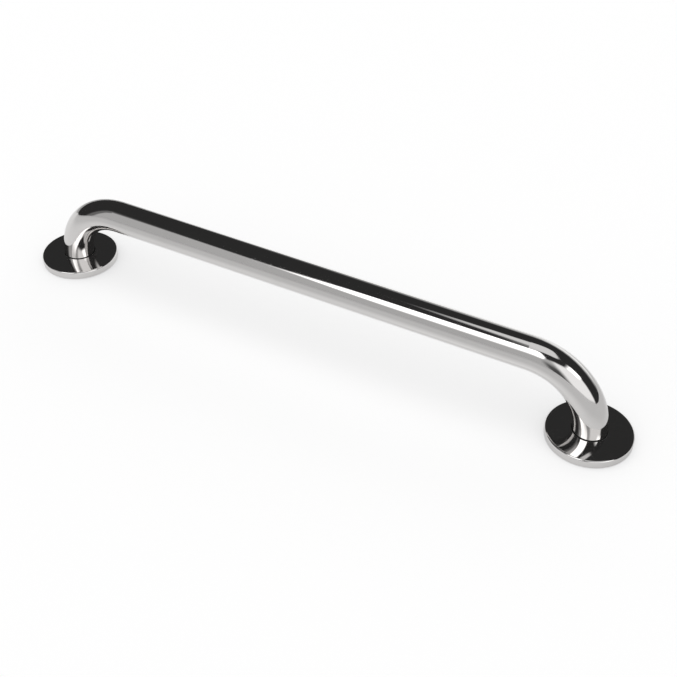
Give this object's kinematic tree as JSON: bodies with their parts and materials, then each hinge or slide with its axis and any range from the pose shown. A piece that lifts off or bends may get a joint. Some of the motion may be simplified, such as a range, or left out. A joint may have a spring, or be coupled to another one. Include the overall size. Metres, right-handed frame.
{
  "type": "grab rail",
  "caption": "Straight grab rail for a boat: a mirror-polished bent tube between two round feet, each with a hidden screw plate under a sliding round cover.",
  "frame": {"origin": "on the mounting surface, midway between the two feet", "axes": "+X along the bar from the left foot to the right foot, +Z away from the mounting surface, +Y across the bar"},
  "size_m": [0.5206, 0.0636, 0.0707],
  "materials": {
    "tube": "mirror polish",
    "cover": "mirror polish",
    "plate": "mill finish, turned edge",
    "weld": "cleaned weld",
    "gasket": "matt",
    "gland": "satin"
  },
  "bodies": {
    "rail": {"rail_tube": "tube", "left_mounting_plate": "plate", "left_weld_bead": "weld", "left_base_gasket": "gasket", "right_mounting_plate": "plate", "right_weld_bead": "weld", "right_base_gasket": "gasket"},
    "left_cover": {"left_cover_plate": "cover", "left_cover_gland": "gland"},
    "right_cover": {"right_cover_plate": "cover", "right_cover_gland": "gland"}
  },
  "joints": [
    {"name": "left_cover_slide", "type": "hinge", "parent": "rail", "child": "left_cover", "pos_m": [-0.1778, 0, 0.0072], "axis": [0, 1, 0], "range_deg": [0, 80]},
    {"name": "right_cover_slide", "type": "hinge", "parent": "rail", "child": "right_cover", "pos_m": [0.1778, 0, 0.0072], "axis": [0, -1, 0], "range_deg": [0, 80]}
  ]
}
